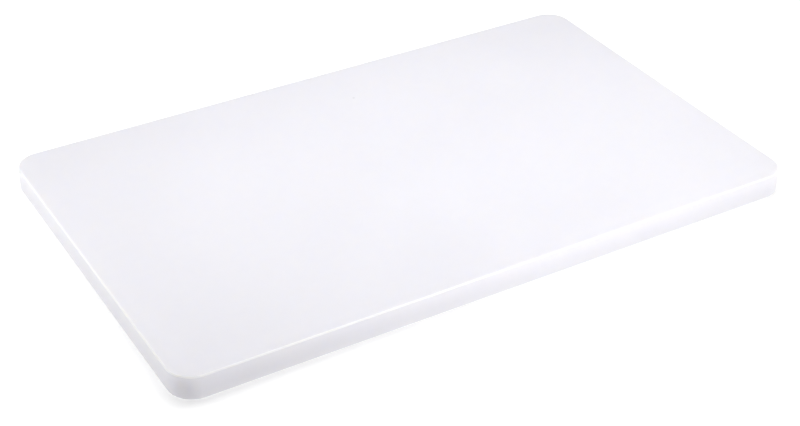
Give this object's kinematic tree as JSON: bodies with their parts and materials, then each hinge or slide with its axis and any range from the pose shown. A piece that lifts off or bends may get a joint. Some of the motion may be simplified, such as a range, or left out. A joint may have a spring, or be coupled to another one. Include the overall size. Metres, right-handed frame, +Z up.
{
  "type": "cutting board",
  "caption": "Reversible solid polyethylene cutting board: one rounded rectangular slab with eased edges, used flat on a counter for cutting meat and deli food.",
  "frame": {"origin": "centre of the lower face, on the surface that the board rests on", "axes": "+X along the length, +Y along the width, +Z up out of the cutting face"},
  "size_m": [0.53, 0.325, 0.02],
  "materials": {
    "white_polyethylene": "translucent white high-density polyethylene with a fine matte grain on both faces and smoother machined edges"
  },
  "bodies": {
    "root": {"board": "white_polyethylene"}
  },
  "joints": []
}
